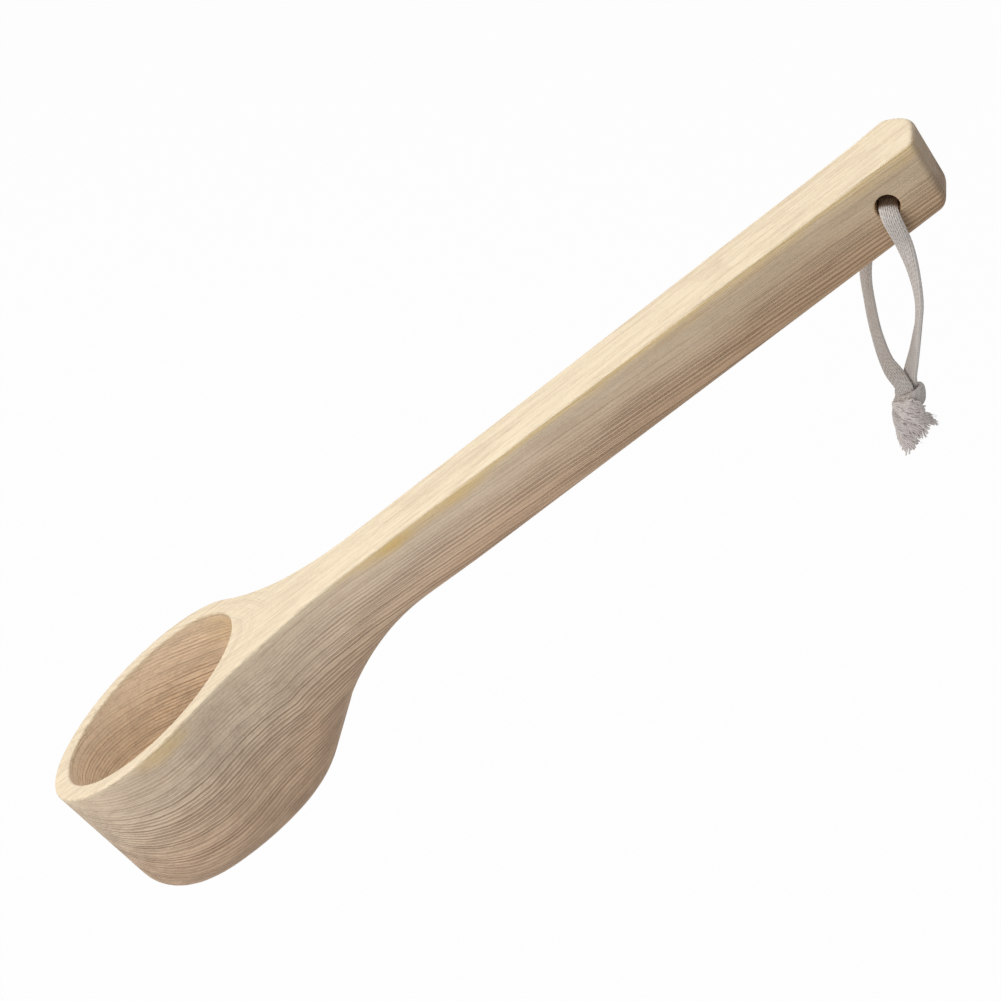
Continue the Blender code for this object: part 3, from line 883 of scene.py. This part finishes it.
knotShape = {
    "width": 0.0066,
    "thick": 0.0026,
    "reachX": 0.0044,
    "side": 0.0010,           # how far the wrap sits towards +X
    "reachY": 0.0036,
    "middle": -0.0779,        # from the hole's centre
    "tilt": 0.0019,           # how much the wrap climbs towards +X
    "climb": 0.0014,          # rise from one turn to the next
    "turns": 1.45,
    "start": 200,             # degrees round from +X
    "tighten": 0.05,          # how much the wrap draws in as it goes round
    "lift": 0.0006,
    "step": 0.0005,
    "samples": 400,
    "endX": 0.0012,           # the two ends that go down through the wrap
    "endY": 0.0011,
    "endHeights": (0.0036, 0.0, -0.0044),
    "endWidth": 0.0056,
    "endThick": 0.0024,
    "endLean": 0.3,
}


def knotWrap():
    wrap = []
    for wound in np.linspace(0.0, 2 * math.pi * knotShape["turns"], knotShape["samples"]):
        turn = wound + math.radians(knotShape["start"])
        drawn = 1 - knotShape["tighten"] * wound
        rise = knotShape["lift"] - knotShape["climb"] * wound / (2 * math.pi)
        wrap.append((knotShape["side"] + knotShape["reachX"] * math.cos(turn) * drawn,
                     knotShape["reachY"] * math.sin(turn) * drawn,
                     knotShape["middle"] + knotShape["tilt"] * math.cos(turn) + rise))
    return wrap


def addStrip(bm, points, between, across, width, thick):
    spots = fromHole(smoothLine(points, knotShape["step"], between))
    frames = stripFrames(spots, [Vector(across)] * len(spots), width, thick)
    sweepLace(bm, frames, knotShape["step"])


def makeKnot(material):
    bm = bmesh.new()
    addStrip(bm, knotWrap(), 2, (0.0, 0.0, 1.0), knotShape["width"], knotShape["thick"])
    for side in (-1, 1):
        end = [(knotShape["endX"] * side, knotShape["endY"] * side, knotShape["middle"] + height)
               for height in knotShape["endHeights"]]
        addStrip(bm, end, 12, (1.0, knotShape["endLean"] * side, 0.0),
                 knotShape["endWidth"], knotShape["endThick"])
    listByPlace(bm)
    return newPiece("laceKnot", bm, material, creases["lace"])


knot = makeKnot(cottonLace)
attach(knot, "loop")
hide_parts("cord_knot")
print("knot:", len(knot.data.polygons), "faces")

frayShape = {
    "front": 44,
    "back": 36,
    "edge": 34,
    "wisps": 60,
    "cover": 64,              # yarns that lie over the knot
    "yarn": 0.00045,
    "wisp": 0.00008,
    "coverYarn": 0.00030,
    "points": 12,
    "seed": 7,
    "thick": 0.0027,
    "thinning": 0.6,          # towards the tips
    "flatness": 0.8,          # how much the fan thins to its sides
    "bow": 0.0016,
    "reach": (0.86, 1.04),
    "wave": 0.00058,
    "coverWave": 0.00034,
    "waveGrowth": 4,          # full height a quarter of the way down
    "probe": 0.01,
    "waves": 2.7,
    "wavesSpread": 0.25,
    "phaseAcross": 9.0,
    "phaseSpread": 0.7,
    "lift": (0.80, 1.04),
    "stray": 0.0006,
    "weaving": 0.0002,
    "taper": 0.4,
    "wispLoose": 2.6,
    "edgeDepth": 0.55,
    "core": 0.74,             # depth of the filled middle under the yarns
    "coreReach": 0.9,
    "coreGrid": 14,
    "coverDepth": 0.0055,     # just outside the knot's wrap
    "coverReach": 0.0061,
    "coverLeast": 0.06,
}
frayFan = {    # where yarns start and end, x and z from the hole's centre
    "fan": ([(-0.0044, -0.0885), (-0.0050, -0.0845), (-0.0052, -0.0812), (-0.0046, -0.0786)],
            [(-0.0026, -0.0976), (0.0006, -0.0966), (0.0044, -0.0926), (0.0092, -0.0874)]),
    "edge": ([(-0.0050, -0.0795), (-0.0034, -0.0800), (-0.0010, -0.0805)],
             [(-0.0036, -0.0930), (-0.0016, -0.0990), (0.0010, -0.0962)]),
    "cover": ([(-0.0050, -0.0806), (-0.0050, -0.0784), (-0.0030, -0.0768), (0.0004, -0.0757)],
              [(0.0086, -0.0874), (0.0067, -0.0850), (0.0056, -0.0822), (0.0050, -0.0790)]),
}


def alongList(points, share):
    at = share * (len(points) - 1)
    k = min(int(at), len(points) - 2)
    return Vector(points[k]).lerp(Vector(points[k + 1]), at - k)


def fanSpot(kind, share, down):
    starts, ends = frayFan[kind]
    bow = frayShape["bow"] * share * 4 * down * (1 - down)
    return alongList(starts, share).lerp(alongList(ends, share), down) + Vector((0.0, bow))


def fanDepth(share, down):
    side = max(1 - (2 * share - 1) ** 2 * frayShape["flatness"], 0.0)
    return frayShape["thick"] * (1 - frayShape["thinning"] * down) * math.sqrt(side)


def coverDepth(x):
    across = (x - knotShape["side"]) / frayShape["coverReach"]
    return frayShape["coverDepth"] * math.sqrt(max(1 - across * across, frayShape["coverLeast"]))


def frayStrand(draw, kind, share, side, loose):
    over = kind == "cover"
    reach = draw.uniform(*frayShape["reach"])
    spread = frayShape["phaseSpread"]
    phase = frayShape["phaseAcross"] * share + draw.uniform(-spread, spread) * loose
    spread = frayShape["wavesSpread"]
    beat = frayShape["waves"] + draw.uniform(-spread, spread) * loose
    lift = draw.uniform(*frayShape["lift"])
    stray = draw.uniform(-frayShape["stray"], frayShape["stray"]) * loose
    swing = frayShape["coverWave" if over else "wave"]
    points = []
    for step in np.linspace(0.0, 1.0, frayShape["points"]):
        down = step * reach
        turn = phase + beat * 2 * math.pi * step
        spot = fanSpot(kind, share, down)
        ahead = fanSpot(kind, share, down + frayShape["probe"])
        across = (ahead - spot).orthogonal().normalized()
        wave = swing * math.sin(turn) * min(1.0, frayShape["waveGrowth"] * step)
        spot = spot + across * (wave + stray * step * step)
        depth = coverDepth(spot.x) if over else fanDepth(share, min(down, 1.0))
        depth = side * (depth * lift + frayShape["weaving"] * math.cos(turn))
        points.append((spot.x, depth, spot.y, 1.0 - frayShape["taper"] * step ** 3))
    return points


frayLooks = {
    # painted light: the frayed ends are paler than the lace's cotton
    "cotton": (0.950, 0.890, 0.865),
    "shade": (0.750, 0.680, 0.650),
    "roughness": 0.9,
    "specular": 0.12,
    "sheen": 0.3,
    "bump": 0.4,
    "relief": 0.00012,
    "toneShare": 0.6,
    "fuzzShare": 0.4,
    "toneScale": 420.0,
    "fuzzScale": 3200.0,
    "shaded": (0.62, 0.34),
}


def frayFinish(looks):
    cotton = Finish("frayedCottonWithPaintedLight", looks["roughness"], looks["specular"])
    place = cotton.node("ShaderNodeTexCoord", out=3)
    tone = cotton.noise(place, looks["toneScale"], 3.0, 0.6)
    fuzz = cotton.noise(place, looks["fuzzScale"], 2.0, 0.6)
    mixed = tone * looks["toneShare"] + fuzz * looks["fuzzShare"]
    shaded = cotton.ramp(mixed, *looks["shaded"])
    colour = cotton.blend(shaded, looks["cotton"], looks["shade"])
    cotton.surface(Base_Color=colour, Sheen_Weight=looks["sheen"],
                   Normal=cotton.bump(fuzz, looks["bump"], looks["relief"]))
    return cotton.material


def frayYarns():
    draw = random.Random(frayShape["seed"])
    curve = bpy.data.curves.new("frayedEnds", "CURVE")
    curve.dimensions = "3D"
    curve.bevel_depth = frayShape["yarn"]
    curve.bevel_resolution = 0
    curve.use_fill_caps = True
    groups = (      # count, where, front or back, looseness and thickness
        (frayShape["front"], "fan", -1, 1.0, frayShape["yarn"]),
        (frayShape["back"], "fan", 1, 1.0, frayShape["yarn"]),
        (frayShape["edge"], "edge", -frayShape["edgeDepth"], 1.0, frayShape["yarn"]),
        (frayShape["wisps"], "fan", -1, frayShape["wispLoose"], frayShape["wisp"]),
        (frayShape["cover"], "cover", -1, 1.0, frayShape["coverYarn"]),
    )
    for count, kind, side, loose, yarn in groups:
        for k in range(count):
            points = frayStrand(draw, kind, (k + draw.random()) / count, side, loose)
            spline = curve.splines.new("POLY")
            spline.points.add(len(points) - 1)
            for spot, (px, py, pz, taper) in zip(spline.points, points):
                spot.co = (*(holePlace + Vector((px, py, pz))), 1.0)
                spot.radius = taper * (yarn / frayShape["yarn"])
    holder = bpy.data.objects.new("frayedEndsCurve", curve)
    scene.collection.objects.link(holder)
    yarns = evaluatedMesh(holder)
    bpy.data.objects.remove(holder)
    return yarns


def fillFray(bm):    # the middle under the yarns, front and back, closed at the sides
    grid = frayShape["coreGrid"]
    middle = []
    for side in (-1, 1):
        sheet = bmesh.ops.create_grid(bm, x_segments=grid, y_segments=grid, size=0.5)["verts"]
        for vert in sheet:
            share, down = vert.co.x + 0.5, frayShape["coreReach"] * (vert.co.y + 0.5)
            spot = fanSpot("fan", share, down)
            depth = side * frayShape["core"] * fanDepth(share, down)
            vert.co = holePlace + Vector((spot.x, depth, spot.y))
        middle += sheet
    inMiddle = set(middle)
    rims = [edge for edge in bm.edges if edge.is_boundary and edge.verts[0] in inMiddle]
    bmesh.ops.bridge_loops(bm, edges=rims)
    skin = unique(face for vert in middle for face in vert.link_faces)
    bmesh.ops.recalc_face_normals(bm, faces=skin)


def makeFray(material):
    bm = bmesh.new()
    bm.from_mesh(frayYarns())
    fillFray(bm)
    return newPiece("frayedEnds", bm, material, creases["yarn"])


fray = makeFray(frayFinish(frayLooks))
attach(fray, "loop")
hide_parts("cord_tassel")
print("frayed ends:", len(fray.data.polygons), "faces")

stageLooks = {
    "floor": -0.52,
    "size": 9.0,
    "paper": (0.72, 0.72, 0.72),
    "roughness": 0.9,
    "glow": 0.97,            # share of the floor that the camera sees as plain white
    "skyFill": 0.44,
}
lampAim = (-0.08, 0.0, -0.05)
lamps = {
    "overhead": {"place": (-0.95, 0.05, 1.20), "size": 1.1, "power": 14.9, "tint": (1.0, 0.985, 0.96)},
    "frontFill": {"place": (-0.75, -0.95, 0.02), "size": 1.0, "power": 3.6, "tint": (1.0, 0.95, 0.91)},
}


def makeStage():
    bm = bmesh.new()
    bmesh.ops.create_grid(bm, x_segments=1, y_segments=1, size=stageLooks["size"])
    bmesh.ops.translate(bm, vec=(0.0, 0.0, stageLooks["floor"]), verts=bm.verts)
    paper = Finish("palePaper", stageLooks["roughness"], 0.0)
    paper.surface(Base_Color=(*stageLooks["paper"], 1.0))
    kinds = ("Is Camera Ray", "Is Glossy Ray", "Is Transmission Ray")
    rays = [paper.node("ShaderNodeLightPath", out=kind) for kind in kinds]
    seen = (rays[0] + rays[1] + rays[2]).least(1.0) * stageLooks["glow"]
    glow = paper.node("ShaderNodeEmission", None, {"Color": (1.0, 1.0, 1.0, 1.0), "Strength": 1.0})
    plain = Value(paper, paper.shader.outputs[0])
    mixed = paper.node("ShaderNodeMixShader", None, {0: seen, 1: plain, 2: glow})
    paper.link(mixed, paper.tree.nodes["Material Output"].inputs["Surface"])
    newPiece("floor", bm, paper.material)


def makeSky():
    world = bpy.data.worlds.new("studio")
    scene.world = world
    world.use_nodes = True
    tree = world.node_tree
    back = tree.nodes["Background"]
    back.inputs["Color"].default_value = (1.0, 1.0, 1.0, 1.0)
    path = tree.nodes.new("ShaderNodeLightPath")
    seen = tree.nodes.new("ShaderNodeMapRange")
    seen.inputs["To Min"].default_value = stageLooks["skyFill"]
    tree.links.new(path.outputs["Is Camera Ray"], seen.inputs["Value"])
    tree.links.new(seen.outputs[0], back.inputs["Strength"])


def makeLamp(name, lamp):
    data = bpy.data.lights.new(name, "AREA")
    data.shape = "DISK"
    data.size = lamp["size"]
    data.energy = lamp["power"]
    data.color = lamp["tint"]
    light = bpy.data.objects.new(name, data)
    scene.collection.objects.link(light)
    place = Vector(lamp["place"])
    turn = (Vector(lampAim) - place).to_track_quat("-Z", "Y").to_matrix().to_4x4()
    light.matrix_world = Matrix.Translation(place) @ turn


makeStage()
makeSky()
for name, lamp in lamps.items():
    makeLamp(name, lamp)
print("stage and lamps set")
